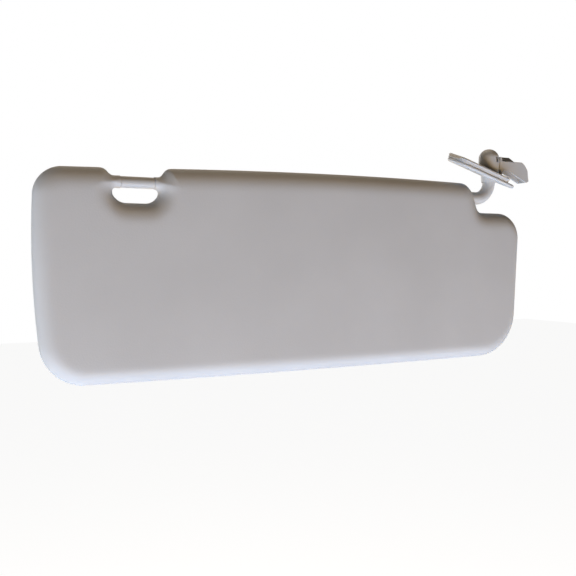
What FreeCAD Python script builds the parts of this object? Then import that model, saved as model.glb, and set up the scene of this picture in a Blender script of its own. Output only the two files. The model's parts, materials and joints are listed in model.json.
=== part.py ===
import FreeCAD, Part
import os
import Sketcher

# A car sun visor. A padded panel hangs from a bent arm, which turns in a bracket that is
# screwed and hooked into the roof above the windscreen.
#
# Frame: millimetres, +Z up, +X towards the side window (outboard), -Y the face that looks at
# the windscreen. The origin is where the arm's upright axis crosses the plane in which the
# bracket seats against the roof lining. The panel turns about the rod axis, which runs
# along X at a distance rod_drop below the origin.

Vector = FreeCAD.Vector
Rotation = FreeCAD.Rotation
Placement = FreeCAD.Placement

doc = FreeCAD.newDocument("sun_visor")

# Driving dimensions in millimetres and degrees: alias, value, what it is
SIZES = [
    # Panel outline, measured from the arm's upright axis (x) and from the rod axis (z)
    ("panel_thick", 20.0, "thickness of the padded panel"),
    ("rim_round", 12.0, "radius of the rounded rim, from a face to the middle seam"),
    ("rim_over", 2.6, "half panel past the middle plane before it is trimmed there"),
    ("reach_top", 411.0, "inboard end at the top edge"),
    ("end_rake", 5.5, "how much shorter the panel is at the bottom edge"),
    ("end_crown", 680.0, "radius of the bowed inboard end"),
    ("rise_inboard", 9.0, "top edge above the rod axis, inboard corner"),
    ("rise_notch", 10.4, "top edge above the rod axis, inboard side of the notch"),
    ("rise_grip", 11.8, "top edge above the rod axis, outboard side of the notch"),
    ("rise_nose", 13.1, "top edge above the rod axis, at the nose"),
    ("nose_edge", 5.4, "lower end of the nose's slope above the rod axis"),
    ("nose_slant", 45.0, "fall of the nose's slope, degrees from level"),
    ("nose_wall", 70.0, "fall of the nose's end face, degrees from level"),
    ("top_crown", 4900.0, "radius of the bowed top edge"),
    ("drop_inboard", 146.3, "bottom edge below the rod axis, inboard corner"),
    ("drop_outboard", 145.4, "bottom edge below the rod axis, outboard corner"),
    ("bottom_crown", 18000.0, "radius of the bowed bottom edge"),
    ("nose_gap", 14.8, "foot of the nose's end face from the arm's upright axis"),
    ("tab_drop", 13.3, "top of the outboard tab below the rod axis"),
    ("tab_reach_top", 36.0, "outboard end of the tab at its top"),
    ("tab_reach_bottom", 28.8, "outboard end of the tab at the bottom edge"),
    ("round_top_in", 19.0, "corner radius, top inboard"),
    ("round_bottom_in", 30.0, "corner radius, bottom inboard"),
    ("round_bottom_out", 42.0, "corner radius, bottom outboard"),
    ("round_top_out", 22.0, "corner radius, top of the tab"),
    ("round_nose", 13.6, "corner radius at both ends of the nose's slope"),
    ("round_mouth", 7.6, "inner corner radius under the arm"),
    # Hand hole with the support pin across its mouth
    ("hole_from_end", 55.5, "inboard side of the hand hole from the panel's inboard end"),
    ("hole_wide", 33.8, "width of the hand hole"),
    ("hole_drop", 15.5, "bottom of the hand hole below the rod axis"),
    ("round_hole", 9.5, "bottom corner radius of the hand hole"),
    ("shoulder_extra", 0.5, "how much rounder the hole's shoulders are than the rim"),
    ("neck_dia", 9.2, "neck of the cover round the end of the pin"),
    ("neck_stand_in", 5.1, "inboard neck's end face inside the hand hole"),
    ("neck_stand_out", 2.9, "outboard neck's end face inside the hand hole"),
    ("neck_foot_dia", 17.0, "foot of the neck, inside the panel"),
    ("neck_foot", 9.0, "length over which a neck widens to its foot"),
    ("neck_barrel", 3.2, "straight length of a neck behind its end face"),
    ("neck_root", 4.0, "length of its foot inside the panel"),
    ("pin_dia", 8.5, "support pin where the roof clip grips it"),
    ("pin_gap", 0.15, "gap at each end of the pin's grip length"),
    ("pin_chamfer", 0.35, "chamfer at the ends of the grip length"),
    ("spigot_dia", 6.0, "spigot at each end of the pin"),
    ("spigot_reach", 12.0, "depth of a spigot in its socket"),
    # Cover and foam core
    ("cover_wall", 1.2, "wall of the moulded cover"),
    ("pocket_gap", 0.2, "room round a fitting in the foam core"),
    # Wire that stiffens the core
    ("wire_dia", 3.0, "wire diameter"),
    ("wire_bend", 14.0, "bend radius of the wire"),
    ("wire_inset", 19.0, "wire centre from the panel's edges"),
    ("wire_lug", 24.0, "upper run of the wire below the rod axis"),
    ("wire_start", 6.0, "wire start from the housing's outboard end"),
    ("wire_seat", 5.0, "wire end from the foot of the inboard pin socket"),
    ("wire_grip", 6.0, "length of wire held in the housing and in the socket"),
    # Sockets for the support pin
    ("socket_long", 24.0, "length of a pin socket"),
    ("socket_back", 5.8, "socket's face behind the side of the hand hole"),
    ("socket_thick", 10.0, "socket across the panel"),
    ("socket_up", 4.2, "socket above the rod axis"),
    ("socket_down", 8.5, "socket below the rod axis"),
    ("socket_round", 1.5, "corner radius of a socket"),
    # Arm: a bent steel rod in a plastic sleeve
    ("rod_drop", 22.6, "rod axis below the roof seat"),
    ("rod_dia", 7.0, "steel rod"),
    ("arm_bend", 16.0, "bend radius of the arm's centre line"),
    ("rod_reach", 152.0, "end of the rod from the upright axis"),
    ("rod_top", 17.4, "top of the rod above the roof seat"),
    ("rod_chamfer", 0.8, "chamfer on the rod's ends"),
    ("flat_depth", 0.7, "depth of the flat that the detent spring rides on"),
    ("sleeve_dia", 11.3, "plastic sleeve over the arm"),
    ("sleeve_top", 2.6, "top of the sleeve above the roof seat"),
    ("sleeve_reach", 41.0, "end of the sleeve from the upright axis"),
    ("running_gap", 0.05, "radial clearance of a turning fit"),
    ("press_gap", 0.03, "radial room where one piece is pressed or moulded on another"),
    ("clear_gap", 0.3, "clearance between parts that move past each other"),
    ("collar_dia", 9.6, "push-on collar at the end of the rod"),
    ("collar_wide", 3.0, "width of the collar"),
    ("collar_back", 1.0, "end of the rod beyond the collar"),
    # Bearing of the panel on the arm
    ("bush_dia", 13.8, "nose bush, outside"),
    ("bush_start", 27.0, "nose bush from the upright axis"),
    ("bush_long", 14.0, "length of the nose bush"),
    ("bush_flange_dia", 15.6, "flange of the nose bush"),
    ("bush_flange", 1.5, "thickness of that flange"),
    ("housing_start", 47.0, "outboard end of the hinge housing from the upright axis"),
    ("housing_beyond", 5.0, "hinge housing beyond the end of the rod"),
    ("housing_thick", 13.0, "hinge housing across the panel"),
    ("housing_up", 7.2, "hinge housing above the rod axis"),
    ("housing_down", 11.0, "hinge housing below the rod axis"),
    ("housing_round", 1.5, "corner radius of the housing"),
    ("window_start", 34.0, "spring window from the housing's outboard end"),
    ("window_long", 24.0, "length of the spring window"),
    ("window_up", 5.6, "spring window above the rod axis"),
    ("window_down", 7.0, "spring window below the rod axis"),
    ("window_floor", 1.6, "wall left behind the spring window"),
    ("cell_long", 12.0, "moulded cell in the housing, length"),
    ("cell_high", 4.0, "moulded cell in the housing, height"),
    ("cell_deep", 4.5, "moulded cell in the housing, depth"),
    ("cell_rib", 1.8, "rib between cells"),
    ("spring_thick", 0.8, "detent spring strip"),
    ("spring_long", 20.0, "length of the detent spring"),
    ("spring_bend", 1.2, "inner bend radius of the detent spring"),
    ("spring_gap", 0.35, "room between the rod and the detent spring"),
    ("lid_thick", 1.2, "lid over the spring window"),
    ("lid_lap", 5.5, "lid beyond the window at each end"),
    ("lid_edge", 2.7, "lid beyond the window at the bottom"),
    ("lid_brow", 1.0, "lid beyond the window at the top"),
    ("lid_screw_dia", 2.6, "lid screw shank"),
    ("lid_screw_long", 5.0, "lid screw below its head"),
    ("lid_head_dia", 4.6, "lid screw head"),
    ("lid_head_high", 0.9, "height of that head"),
    # Bracket on the sloping roof
    ("roof_side_tilt", 16.6, "fall of the roof towards the side window"),
    ("roof_front_tilt", 18.0, "fall of the roof towards the windscreen"),
    ("plate_in", 46.0, "trim plate inboard of the upright axis"),
    ("plate_out", 28.3, "trim plate outboard of the upright axis"),
    ("plate_deep", 28.0, "trim plate, front to back"),
    ("plate_thick", 3.2, "trim plate thickness"),
    ("plate_round", 13.0, "plan corner radius of the trim plate"),
    ("plate_rim", 1.5, "edge radius of the trim plate"),
    ("skirt_drop", 7.4, "collar under the plate below the roof seat"),
    ("skirt_dia", 13.5, "lower end of that collar"),
    ("skirt_foot_dia", 15.0, "upper end of that collar"),
    ("block_high", 4.2, "moulded block above the roof seat"),
    ("block_inset", 1.2, "block inside the trim plate's edge"),
    ("block_setback", 9.8, "block behind the trim plate's outboard end"),
    ("block_round", 8.0, "plan corner radius of the block"),
    ("block_edge", 0.6, "edge radius on top of the block"),
    ("block_toe", 0.6, "foot of the block's sloping inboard end above the roof seat"),
    ("lip_low", 2.6, "underside of the lip round the block above the roof seat"),
    ("lip_thick", 0.6, "thickness of that lip"),
    ("lip_over", 0.5, "how far that lip stands out"),
    ("boss_dia", 18.6, "upright boss round the arm"),
    ("boss_top", 17.7, "top of the boss above the roof seat"),
    ("boss_slot_wide", 3.8, "slot in the boss over the spring washer"),
    ("boss_slot_low", 11.0, "lower end of that slot above the roof seat"),
    ("boss_shoulder", 3.6, "height of the boss's rounded shoulder"),
    ("boss_step", 0.15, "step from the shoulder in to the cap"),
    ("boss_slot_side", 2.6, "centre of that slot outboard of the upright axis"),
    ("cap_high", 5.7, "domed cap above the boss"),
    ("cap_inset", 0.7, "rim of the cap inside the boss's side"),
    ("cap_wall", 1.4, "wall of the cap"),
    ("cap_plug", 1.2, "cap's rim inside the boss"),
    # Bearing of the arm in the bracket
    ("swivel_bush_dia", 13.0, "swivel bush, outside"),
    ("swivel_bush_low", 3.0, "bottom of the swivel bush above the roof seat"),
    ("swivel_bush_long", 9.6, "length of the swivel bush"),
    ("washer_thick", 0.8, "thrust washer"),
    ("washer_dia", 12.2, "thrust washer, outside"),
    ("cone_thick", 0.6, "strip of the spring washer"),
    ("cone_high", 1.3, "height of the spring washer"),
    ("cone_dia", 11.6, "spring washer, outside"),
    ("ring_thick", 0.8, "retaining ring"),
    ("ring_dia", 11.0, "retaining ring, outside"),
    ("groove_dia", 5.6, "bottom of the ring's groove in the rod"),
    ("ring_mouth", 4.4, "opening of the retaining ring"),
    # Screw at the inboard end of the bracket
    ("screw_from_end", 15.0, "screw centre from the trim plate's inboard end"),
    ("screw_hole", 5.2, "screw hole in the trim plate"),
    ("screw_sink_dia", 9.4, "countersink in the trim plate"),
    ("screw_sink", 2.0, "depth of the countersink"),
    ("limiter_dia", 8.0, "steel sleeve that takes the screw's load, outside"),
    ("limiter_bore", 4.8, "bore of that sleeve"),
    ("cell_wall", 1.6, "walls between the cells under the block"),
    ("block_cell", 5.4, "cell under the block, along the plate"),
    ("block_cell_deep", 3.0, "depth of those cells"),
    # Hook that goes into the roof panel
    ("hook_wide", 12.0, "width of the hook"),
    ("hook_wall", 1.7, "wall of the hook"),
    ("hook_crest", 12.6, "top of the hook above the roof seat"),
    ("hook_nose", 5.2, "shoulder of the hook behind its tip"),
    ("hook_roll", 3.6, "end of the hook's level top behind the shoulder"),
    ("hook_fall", 2.2, "fall of the hook from its level top to the shoulder"),
    ("hook_reach", 44.6, "tip of the hook from the upright axis"),
    ("hook_lean", 1.5, "outward lean of the hook's end below the shoulder"),
    ("hook_end", 5.6, "start of the hook's upright end above the roof seat"),
    ("hook_tip", 6.2, "tip of the hook below the roof seat"),
    ("hook_tip_wide", 3.1, "width of the tip"),
    ("hook_throat", 3.9, "underside of the hook at its root, above the roof seat"),
    ("hook_throat_long", 19.5, "end of the level underside from the upright axis"),
    ("hook_soft", 0.5, "edge radius of the hook"),
    ("hook_rib_high", 4.9, "stiffening rib above the hook"),
    ("hook_rib_wide", 3.0, "width of that rib"),
    ("hook_rib_foot", 7.6, "end of the rib behind the hook's tip"),
    ("hook_rib_fall", 9.2, "length of the rib's falling end"),
    ("web_thick", 2.4, "web between the boss and the hook"),
    ("web_above", 3.6, "top of that web above the hook"),
]

sheet = doc.addObject("Spreadsheet::Sheet", "Sizes")
for row, (alias, value, note) in enumerate(SIZES, start=1):
    sheet.set(f"A{row}", alias)
    sheet.set(f"B{row}", str(value))
    sheet.set(f"C{row}", note)
    sheet.setAlias(f"B{row}", alias)
doc.recompute()

# Places that follow from those sizes
reach_bottom = "(reach_top - end_rake)"
hole_in = "(reach_top - hole_from_end)"
hole_out = "(reach_top - hole_from_end - hole_wide)"
neck_in = f"({hole_in} - neck_stand_in)"
neck_out = f"({hole_out} + neck_stand_out)"
housing_long = "(rod_reach + housing_beyond - housing_start)"
screw_side = "(plate_in - screw_from_end)"
hook_shoulder = "(hook_reach - hook_nose)"
hook_level = "(hook_reach - hook_nose - hook_roll)"

ALIASES = {alias for alias, value, note in SIZES}


def cells(expression):
    """The expression with each size's name written as its cell in the sheet."""
    words = []
    word = ""
    for letter in expression + " ":
        if letter.isalnum() or letter == "_":
            word += letter
            continue
        words.append("Sizes." + word if word in ALIASES else word)
        words.append(letter)
        word = ""
    return "".join(words).strip()


def size(expression):
    """The value of an expression in the sheet's sizes."""
    value = sheet.evalExpression(cells(expression))
    return float(getattr(value, "Value", value))


def bind(thing, **sizes):
    """Tie properties of an object to expressions in the sheet's sizes."""
    for name, expression in sizes.items():
        thing.setExpression(name, cells(expression))
    return thing


def body(name):
    made = doc.addObject("PartDesign::Body", name)
    made.Label = name
    return made


def origin_plane(owner, role):
    return next(plane for plane in owner.Origin.OriginFeatures if plane.Role == role)


def new_sketch(owner, name, role, along="0"):
    """A sketch on one of the body's own origin planes, moved along that plane's normal."""
    made = owner.newObject("Sketcher::SketchObject", name)
    made.AttachmentSupport = [(origin_plane(owner, role), "")]
    made.MapMode = "FlatFace"
    made.AttachmentOffset = Placement(Vector(0, 0, size(along)), Rotation())
    if along != "0":
        made.setExpression("AttachmentOffset.Base.z", cells(along))
    return made


def hold(made, kind, geometry, *rest):
    """Add a dimension to a sketch and tie it to an expression; the last item is that expression."""
    number = made.addConstraint(Sketcher.Constraint(kind, geometry, *rest[:-1], size(rest[-1])))
    made.setExpression(f"Constraints[{number}]", cells(rest[-1]))


def fasten(made, kind, *places):
    made.addConstraint(Sketcher.Constraint(kind, *places))


def pin_point(made, geometry, end, x, y):
    """Hold an end of a sketch line or arc at two expressions, measured from the sketch's origin."""
    hold(made, "DistanceX", -1, 1, geometry, end, x)
    hold(made, "DistanceY", -1, 1, geometry, end, y)


def arc_through(start, finish, radius):
    """The arc of a circle from start to finish, turning anticlockwise, shorter way round."""
    chord = finish - start
    half = chord.Length / 2
    across = Vector(-chord.y, chord.x, 0)
    across.normalize()
    centre = (start + finish) / 2 + across * (radius * radius - half * half) ** 0.5
    circle = Part.Circle(centre, Vector(0, 0, 1), radius)
    return Part.ArcOfCircle(circle, circle.parameter(start), circle.parameter(finish))


def outline(made, points, bowed=None):
    """A closed outline of straight sides. bowed gives the sides that bulge outwards, each with
    its radius; the points run clockwise, so such a side is an arc drawn from its end to its start."""
    bowed = bowed or {}
    count = len(points)
    places = [Vector(size(x), size(y), 0) for x, y in points]
    ends = []
    for side in range(count):
        start, finish = places[side], places[(side + 1) % count]
        if side in bowed:
            number = made.addGeometry(arc_through(finish, start, size(bowed[side])), False)
            hold(made, "Radius", number, bowed[side])
            ends.append((number, 2, 1))
        else:
            number = made.addGeometry(Part.LineSegment(start, finish), False)
            ends.append((number, 1, 2))
    for side in range(count):
        number, first, last = ends[side]
        following = ends[(side + 1) % count]
        fasten(made, "Coincident", number, last, following[0], following[1])
        pin_point(made, number, first, *points[side])
    return made


def circle(made, radius, x="0", y="0"):
    number = made.addGeometry(
        Part.Circle(Vector(size(x), size(y), 0), Vector(0, 0, 1), size(radius)), False
    )
    hold(made, "Radius", number, radius)
    pin_point(made, number, 3, x, y)
    return number


def pad(owner, profile, length, middle=False, reverse=False):
    made = owner.newObject("PartDesign::Pad", profile.Name + "_pad")
    made.Profile = profile
    made.Midplane = middle
    made.Reversed = reverse
    profile.Visibility = False
    return bind(made, Length=length)


def pocket(owner, profile, length, middle=False, reverse=False):
    made = owner.newObject("PartDesign::Pocket", profile.Name + "_pocket")
    made.Profile = profile
    made.Midplane = middle
    made.Reversed = reverse
    return bind(made, Length=length)


def turn(owner, profile, axis, angle="360", kind="Revolution"):
    made = owner.newObject("PartDesign::" + kind, profile.Name + "_turn")
    made.Profile = profile
    made.ReferenceAxis = (profile, [axis])
    return bind(made, Angle=angle)


def soften(owner, base, edges, radius):
    """Fillet the named edges or faces of a feature."""
    made = owner.newObject("PartDesign::Fillet", "fillet")
    made.Base = (base, edges)
    bind(made, Radius=radius)
    doc.recompute()
    return made


def edges_where(feature, test):
    names = []
    for number, edge in enumerate(feature.Shape.Edges, start=1):
        if test(edge):
            names.append(f"Edge{number}")
    if not names:
        raise ValueError("no edge found on " + feature.Name)
    return names


def faces_where(feature, test):
    names = []
    for number, face in enumerate(feature.Shape.Faces, start=1):
        if test(face):
            names.append(f"Face{number}")
    if not names:
        raise ValueError("no face found on " + feature.Name)
    return names


def flat_at(axis, value):
    """A test for the flat faces that lie at a value along x, y or z."""
    def test(face):
        box = face.BoundBox
        low, high = getattr(box, axis.upper() + "Min"), getattr(box, axis.upper() + "Max")
        return abs(low - value) < 0.01 and abs(high - value) < 0.01
    return test


def corner_at(x, z):
    """A test for the straight edges across the panel that stand at a corner of its outline."""
    def test(edge):
        first, last = edge.Vertexes[0].Point, edge.Vertexes[-1].Point
        across = abs(first.y - last.y) > 1.0
        near = all(abs(p.x - x) < 0.02 and abs(p.z - z) < 0.02 for p in (first, last))
        return across and near
    return test


def join(name, *things):
    made = doc.addObject("Part::MultiFuse", name)
    made.Shapes = list(things)
    made.Refine = True
    return made


def cut(name, base, *tools):
    """The base without the tools, as a part of its own."""
    made = doc.addObject("Part::Cut", name)
    made.Base = base
    made.Tool = tools[0] if len(tools) == 1 else join(name + "_tools", *tools)
    made.Refine = False
    return made


def cylinder(name, radius, length, start=("0", "0", "0"), along="Z"):
    """A cylinder from start, along +X, +Y or +Z."""
    made = doc.addObject("Part::Cylinder", name)
    bind(made, Radius=radius, Height=length)
    if along == "X":
        made.Placement = Placement(Vector(), Rotation(Vector(0, 1, 0), 90))
    if along == "Y":
        made.Placement = Placement(Vector(), Rotation(Vector(1, 0, 0), -90))
    for axis, place in zip("xyz", start):
        made.setExpression("Placement.Base." + axis, cells(place))
    return made


def box(name, low, high):
    """A box between two corners, each given as three expressions."""
    made = doc.addObject("Part::Box", name)
    for part, first, last in zip(("Length", "Width", "Height"), low, high):
        made.setExpression(part, cells(f"({last}) - ({first})"))
    for axis, place in zip("xyz", low):
        made.setExpression("Placement.Base." + axis, cells(place))
    return made


PIECES = []


def piece(thing, label, on_rod=False, on_roof=False):
    """Name a finished sub-part and seat it: on the rod axis, or on the sloping roof."""
    thing.Label = label
    if on_rod:
        thing.setExpression("Placement.Base.z", cells("-rod_drop"))
    if on_roof:
        slope(thing)
    PIECES.append(thing)
    return thing


def slope(thing):
    """Tilt a part with the roof, about the origin."""
    thing.Placement = Placement(
        Vector(), Rotation(0, size("roof_side_tilt"), size("roof_front_tilt"))
    )
    return thing


# Panel: covers and foam core
#
# The outline is the same for the cover's outside and for the core, which lies inside it by
# the cover's wall. Each is a half panel, from the middle plane out to one face. It is made a
# little too thick, because its rim is rounder than half the panel, and trimmed at the middle.

nose_back = "(nose_gap + (tab_drop + nose_edge) / tan(nose_wall))"
nose_mean = "((nose_slant + nose_wall) / 2)"
nose_half = "((nose_wall - nose_slant) / 2)"


def half_panel(name, inset):
    made = body(name)
    shape = new_sketch(made, name + "_outline", "XZ_Plane", "-rim_over")
    corners = {
        "top_in": (f"-reach_top + {inset}", f"rise_inboard - {inset}"),
        "notch_in": (f"-{hole_in} - {inset}", f"rise_notch - {inset}"),
        "hole_in": (f"-{hole_in} - {inset}", f"-hole_drop - {inset}"),
        "hole_out": (f"-{hole_out} + {inset}", f"-hole_drop - {inset}"),
        "notch_out": (f"-{hole_out} + {inset}", f"rise_grip - {inset}"),
        "nose_top": (
            f"-{nose_back} - (rise_nose - nose_edge) / tan(nose_slant)"
            f" - {inset} * tan(nose_slant / 2)",
            f"rise_nose - {inset}",
        ),
        "nose_face": (
            f"-{nose_back} - {inset} * sin({nose_mean}) / cos({nose_half})",
            f"nose_edge - {inset} * cos({nose_mean}) / cos({nose_half})",
        ),
        "mouth": (f"-nose_gap - {inset} * tan(nose_wall / 2)", f"-tab_drop - {inset}"),
        "top_out": (f"tab_reach_top - {inset}", f"-tab_drop - {inset}"),
        "bottom_out": (f"tab_reach_bottom - {inset}", f"-drop_outboard + {inset}"),
        "bottom_in": (f"-{reach_bottom} + {inset}", f"-drop_inboard + {inset}"),
    }
    names = list(corners)
    bows = {"notch_out": "top_crown", "bottom_out": "bottom_crown", "bottom_in": "end_crown"}
    outline(shape, list(corners.values()), {names.index(k): v for k, v in bows.items()})
    solid = pad(made, shape, f"panel_thick / 2 + rim_over - {inset}")
    doc.recompute()
    # Corners that stick out get tighter by the inset, and inner corners wider
    rounds = [
        (("top_in",), f"round_top_in - {inset}"),
        (("bottom_in",), f"round_bottom_in - {inset}"),
        (("bottom_out",), f"round_bottom_out - {inset}"),
        (("top_out",), f"round_top_out - {inset}"),
        (("nose_top", "nose_face"), f"round_nose - {inset}"),
        (("mouth",), f"round_mouth + {inset}"),
        (("hole_in", "hole_out"), f"round_hole + {inset}"),
        (("notch_in", "notch_out"), f"rim_round + shoulder_extra - {inset}"),
    ]
    for where, radius in rounds:
        edges = []
        for corner in where:
            x, z = corners[corner]
            edges += edges_where(solid, corner_at(size(x), size(z)))
        solid = soften(made, solid, edges, radius)
    face = faces_where(solid, flat_at("y", -size(f"panel_thick / 2 - {inset}")))
    soften(made, solid, face, f"rim_round - {inset}")
    behind = new_sketch(made, name + "_behind", "XZ_Plane")
    far = "2 * reach_top"
    outline(behind, [("-" + far, far), (far, far), (far, "-" + far), ("-" + far, "-" + far)])
    pocket(made, behind, "2 * rim_over")
    return made


def neck(owner, name, end, foot):
    """Half of the neck that closes the cover round one end of the support pin, revolved about
    the rod axis: a short barrel that widens in a hollow curve to its foot inside the panel."""
    way = "-1" if size(foot) < size(end) else "1"
    root = f"({end}) + ({way}) * (neck_barrel + neck_foot)"
    waist = f"({end}) + ({way}) * neck_barrel"
    shape = new_sketch(owner, name, "XZ_Plane")
    points = [
        (end, "0"), (end, "neck_dia / 2"), (waist, "neck_dia / 2"),
        (root, "neck_foot_dia / 2"), (foot, "neck_foot_dia / 2"), (foot, "0"),
    ]
    outline(shape, points)
    return turn(owner, shape, "H_Axis", "180")


cover_form = half_panel("cover_form", "0")
neck_long = "(neck_barrel + neck_foot + neck_root)"
neck(cover_form, "neck_inboard", f"-{neck_in}", f"-{neck_in} - {neck_long}")
neck(cover_form, "neck_outboard", f"-{neck_out}", f"-{neck_out} + {neck_long}")
core_form = half_panel("core_form", "cover_wall")

spigot_way = cylinder(
    "spigot_way", "spigot_dia / 2 + running_gap", "hole_wide + 2 * (socket_back + spigot_reach)",
    (f"-{hole_in} - socket_back - spigot_reach", "0", "0"), "X",
)
arm_way = cylinder(
    "arm_way", "sleeve_dia / 2 + clear_gap", "bush_start + bush_flange",
    ("-bush_start - bush_flange", "0", "0"), "X",
)
front_cover = piece(
    cut("front_cover_cut", cover_form, core_form, spigot_way, arm_way), "front_cover", on_rod=True
)

# Wire that stiffens the core: out of the hinge housing, round the outboard end, along the
# bottom and up into the inboard pin socket. All its bends have one radius.

def route(made, points, bend):
    """An open route of runs along the sketch's axes, with the same bend at each corner."""
    places = [Vector(size(x), size(y), 0) for x, y in points]
    radius = size(bend)
    last = len(places) - 1
    steps = [(places[i + 1] - places[i]).normalize() for i in range(last)]
    lines = []
    for i in range(last):
        start = places[i] + steps[i] * (radius if i > 0 else 0)
        finish = places[i + 1] - steps[i] * (radius if i < last - 1 else 0)
        number = made.addGeometry(Part.LineSegment(start, finish), False)
        level = abs(steps[i].x) > 0.5
        fasten(made, "Horizontal" if level else "Vertical", number)
        if level:
            hold(made, "DistanceY", -1, 1, number, 1, points[i][1])
        else:
            hold(made, "DistanceX", -1, 1, number, 1, points[i][0])
        lines.append(number)
    for i in range(1, last):
        before, after = steps[i - 1], steps[i]
        left = before.x * after.y - before.y * after.x > 0
        start, finish = places[i] - before * radius, places[i] + after * radius
        arc = arc_through(start, finish, radius) if left else arc_through(finish, start, radius)
        number = made.addGeometry(arc, False)
        first, second = (1, 2) if left else (2, 1)
        fasten(made, "Tangent", lines[i - 1], 2, number, first)
        fasten(made, "Tangent", lines[i], 1, number, second)
        hold(made, "Radius", number, bend)
    for number, end, (x, y), step in (
        (lines[0], 1, points[0], steps[0]), (lines[-1], 2, points[-1], steps[-1]),
    ):
        if abs(step.x) > 0.5:
            hold(made, "DistanceX", -1, 1, number, end, x)
        else:
            hold(made, "DistanceY", -1, 1, number, end, y)
    return made


def bent_rod(name, points, bend, radius):
    """A round bar along a route in the XZ plane that starts on an upright run."""
    made = body(name)
    path = route(new_sketch(made, name + "_route", "XZ_Plane"), points, bend)
    ring = new_sketch(made, name + "_section", "XY_Plane", points[0][1])
    circle(ring, radius, points[0][0], "0")
    sweep = made.newObject("PartDesign::AdditivePipe", name + "_pipe")
    sweep.Profile = ring
    sweep.Spine = path
    return made


wire_x = "-housing_start - wire_start"
wire_end = f"-{hole_in} - socket_back - socket_long + wire_seat"
wire_route = [
    (wire_x, "-housing_down + wire_grip"),
    (wire_x, "-housing_down - wire_lug"),
    ("tab_reach_bottom - wire_inset", "-housing_down - wire_lug"),
    ("tab_reach_bottom - wire_inset", "-drop_outboard + wire_inset"),
    (wire_end, "-drop_outboard + wire_inset"),
    (wire_end, "-socket_down + wire_grip"),
]
wire_frame = piece(
    bent_rod("wire_frame", wire_route, "wire_bend", "wire_dia / 2"), "wire_frame", on_rod=True
)
wire_way = bent_rod("wire_way", wire_route, "wire_bend", "wire_dia / 2 + pocket_gap")

# Support pin, one turned or moulded bar with a spigot at each end

support_pin_body = body("support_pin")
pin_profile = new_sketch(support_pin_body, "pin_profile", "XZ_Plane")
pin_left = f"-{neck_in} + pin_gap"
pin_right = f"-{neck_out} - pin_gap"
spigot_left = f"-{hole_in} - socket_back - spigot_reach"
spigot_right = f"-{hole_out} + socket_back + spigot_reach"
outline(pin_profile, [
    (spigot_left, "0"),
    (spigot_left, "spigot_dia / 2"),
    (pin_left, "spigot_dia / 2"),
    (pin_left, "pin_dia / 2 - pin_chamfer"),
    (pin_left + " + pin_chamfer", "pin_dia / 2"),
    (pin_right + " - pin_chamfer", "pin_dia / 2"),
    (pin_right, "pin_dia / 2 - pin_chamfer"),
    (pin_right, "spigot_dia / 2"),
    (spigot_right, "spigot_dia / 2"),
    (spigot_right, "0"),
])
turn(support_pin_body, pin_profile, "H_Axis")
piece(support_pin_body, "support_pin", on_rod=True)

# Pin sockets: moulded blocks in the core, each with a blind bore for the pin's spigot


def rounded_block(name, low, high, radius):
    """A block across the panel's middle plane, its upright corners rounded. low and high are
    the corners in x and z, and the last item of high is the thickness."""
    made = body(name)
    shape = new_sketch(made, name + "_outline", "XZ_Plane")
    outline(shape, [(low[0], high[1]), (high[0], high[1]), (high[0], low[1]), (low[0], low[1])])
    solid = pad(made, shape, high[2], middle=True)
    doc.recompute()
    if radius:
        edges = edges_where(solid, lambda edge: abs(edge.Vertexes[0].Y - edge.Vertexes[-1].Y) > 1)
        soften(made, solid, edges, radius)
    return made


def pin_socket(name, mouth, foot):
    """A socket from its mouth, which looks at the hand hole, to its foot."""
    low, high = (foot, mouth) if size(foot) < size(mouth) else (mouth, foot)
    made = rounded_block(
        name, (low, "-socket_down"), (high, "socket_up", "socket_thick"), "socket_round"
    )
    inward = low == foot
    bore = new_sketch(made, name + "_bore", "YZ_Plane", mouth)
    circle(bore, "spigot_dia / 2 + running_gap")
    pocket(made, bore, "spigot_reach + pocket_gap", reverse=not inward)
    return made


inboard_mouth = f"-{hole_in} - socket_back"
outboard_mouth = f"-{hole_out} + socket_back"
socket_in = pin_socket("socket_in", inboard_mouth, inboard_mouth + " - socket_long")
socket_out = pin_socket("socket_out", outboard_mouth, outboard_mouth + " + socket_long")
wire_hole = cylinder(
    "wire_hole", "wire_dia / 2 + press_gap", "wire_grip", (wire_end, "0", "-socket_down")
)
piece(cut("pin_socket_inboard_cut", socket_in, wire_hole), "pin_socket_inboard", on_rod=True)
piece(socket_out, "pin_socket_outboard", on_rod=True)

# Hinge housing: the moulded bearing of the panel on the rod, with a window for the detent
# spring and a row of open cells that keep its walls even

CELL_COUNT = 3
housing_end = f"-housing_start - {housing_long}"
window_out = "-housing_start - window_start"
window_in = window_out + " - window_long"
housing_body = rounded_block(
    "housing_form", (housing_end, "-housing_down"),
    ("-housing_start", "housing_up", "housing_thick"), "housing_round",
)
rod_bore = new_sketch(housing_body, "rod_bore", "YZ_Plane", "-housing_start")
circle(rod_bore, "rod_dia / 2 + running_gap")
pocket(housing_body, rod_bore, f"{housing_long} + clear_gap")
collar_bore = new_sketch(housing_body, "collar_bore", "YZ_Plane", housing_end)
circle(collar_bore, "collar_dia / 2 + clear_gap")
pocket(
    housing_body, collar_bore,
    "housing_beyond + collar_back + collar_wide + clear_gap",
    reverse=True,
)
window = new_sketch(housing_body, "window", "XZ_Plane", "housing_thick / 2")
outline(window, [
    (window_in, "window_up"), (window_out, "window_up"),
    (window_out, "-window_down"), (window_in, "-window_down"),
])
pocket(housing_body, window, "housing_thick - window_floor")
cell = new_sketch(housing_body, "cell", "XZ_Plane", "housing_thick / 2")
cell_left = housing_end + " + 2 * cell_rib"
cell_floor = "-housing_down + cell_rib"
outline(cell, [
    (cell_left, cell_floor + " + cell_high"), (cell_left + " + cell_long", cell_floor + " + cell_high"),
    (cell_left + " + cell_long", cell_floor), (cell_left, cell_floor),
])
cell_pocket = pocket(housing_body, cell, "cell_deep")
doc.recompute()
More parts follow.
